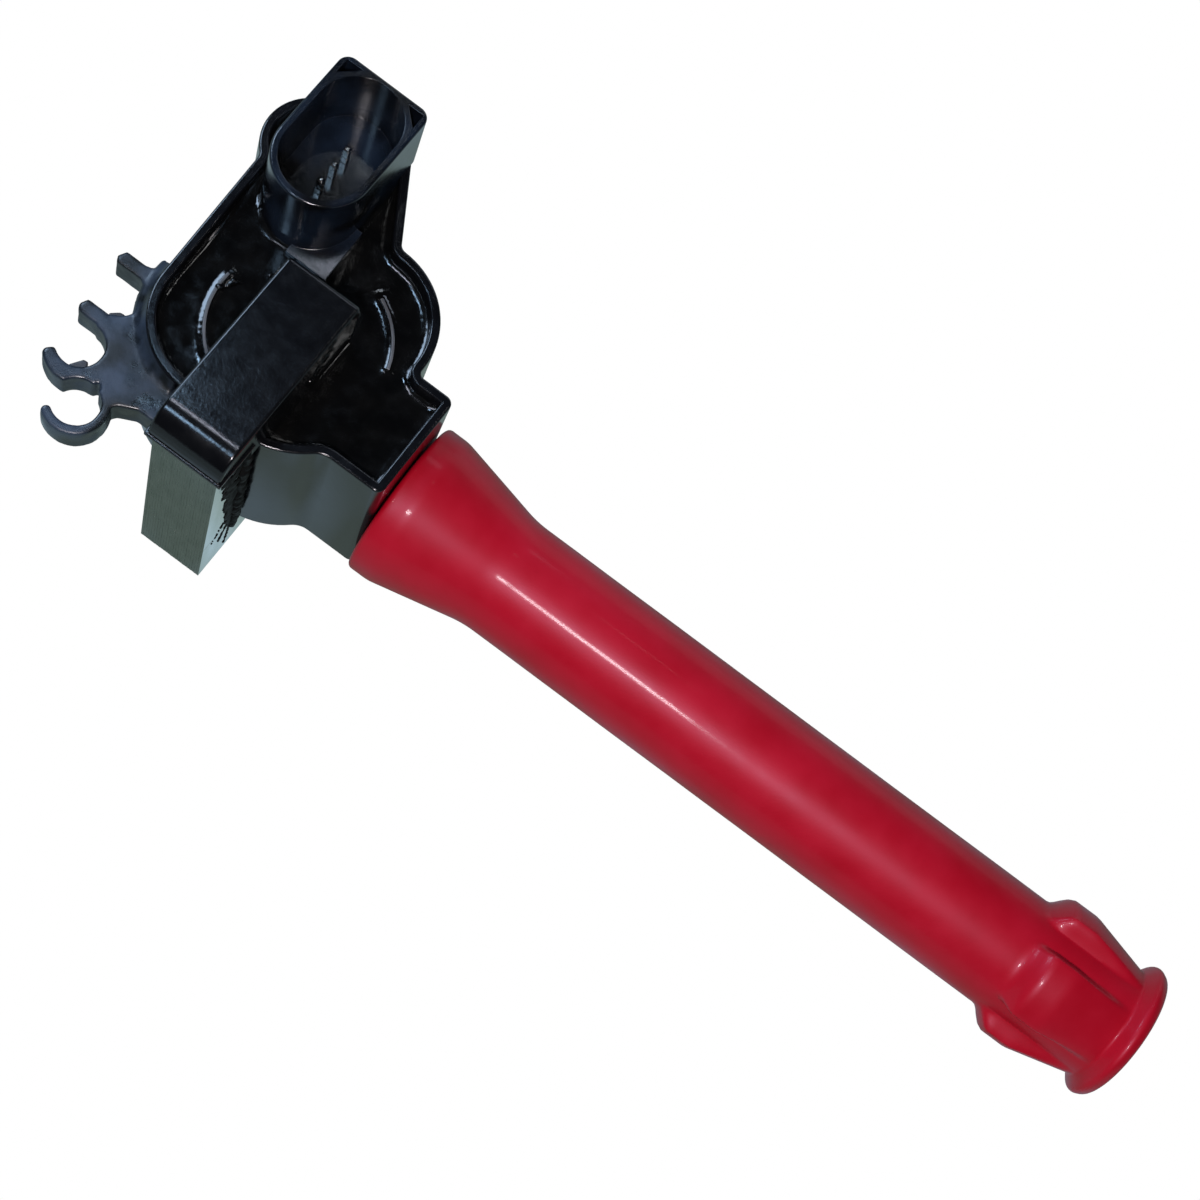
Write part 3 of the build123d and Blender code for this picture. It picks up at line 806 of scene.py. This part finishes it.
floor_mesh = bpy.data.meshes.new("floor")
reach = 3.0
floor_z = cad_box[0].z - 0.1 * MM
floor_mesh.from_pydata(
    [(x, y, floor_z) for x, y in ((-reach, -reach), (reach, -reach), (reach, reach), (-reach, reach))],
    [],
    [(0, 1, 2, 3)],
)
floor = bpy.data.objects.new("floor", floor_mesh)
bpy.context.scene.collection.objects.link(floor)
floor_material = bpy.data.materials.new("floor")
floor_material.use_nodes = True
floor_tree = floor_material.node_tree
floor_tree.nodes.remove(floor_tree.nodes["Principled BSDF"])
two_faced(
    floor_tree, floor_tree.nodes["Material Output"], white, bounce, "ShaderNodeEmission", bright_bounce
)
floor_mesh.materials.append(floor_material)

world = bpy.data.worlds.new("studio")
bpy.context.scene.world = world
world.use_nodes = True
world.node_tree.nodes.remove(world.node_tree.nodes["Background"])
two_faced(
    world.node_tree,
    world.node_tree.nodes["World Output"],
    white,
    (0.012, 0.014, 0.018, 1.0),
    "ShaderNodeBackground",
)


def area_light(name, place, target, size, watts, colour):
    light = bpy.data.lights.new(name, "AREA")
    light.shape = "RECTANGLE"
    light.size, light.size_y = (s * MM for s in size)
    light.energy = watts
    light.color = colour
    lamp = bpy.data.objects.new(name, light)
    bpy.context.scene.collection.objects.link(lamp)
    lamp.matrix_world = look_from(Vector(place) * MM, Vector(target) * MM, Vector((0.01, 1, 0.02)))


# Place and target in millimetres, size, watts and colour. The strips and the small lights stand where
# glossy faces mirror the camera. From other places their highlights move or vanish.
area_light("key", (48, -215, 390), (40, 0, 0), (78, 40), 1.5, (1.0, 0.94, 0.98))
area_light("blue_side", (-260, 90, 260), (-40, 20, 20), (120, 120), 0.6, (0.55, 0.74, 1.0))
area_light("back", (-60, 330, 300), (-30, 0, 0), (160, 60), 0.1, (0.72, 0.82, 1.0))
area_light("rear_fill", (60, 420, 90), (10, 0, 0), (320, 160), 0.12, (0.92, 0.96, 1.0))
area_light("bend_strip", (-93, 36, 400), (-28, -20, 31), (50, 12), 0.045, (0.80, 0.82, 1.0))
area_light("tongue_strip", (-97, 20, 400), (-32, 16, 21), (60, 30), 0.016, (0.70, 0.85, 1.0))
area_light("comb_light", (-126, 88, 400), (-45, -12, 20), (22, 22), 0.05, (0.45, 0.70, 1.0))
area_light("wall_strip", (60, 168, 400), (-46, 8, 20), (30, 12), 0.010, (1.0, 1.0, 1.0))
area_light("socket_top", (-112, 218, 400), (-36, 34, 24), (9, 12), 0.003, (0.80, 0.90, 1.0))
area_light("socket_side", (-114, -165, 400), (-36, 34, 28), (50, 50), 0.15, (0.45, 0.70, 1.0))

bpy.context.scene.view_settings.view_transform = "Standard"
bpy.context.scene.view_settings.look = "None"
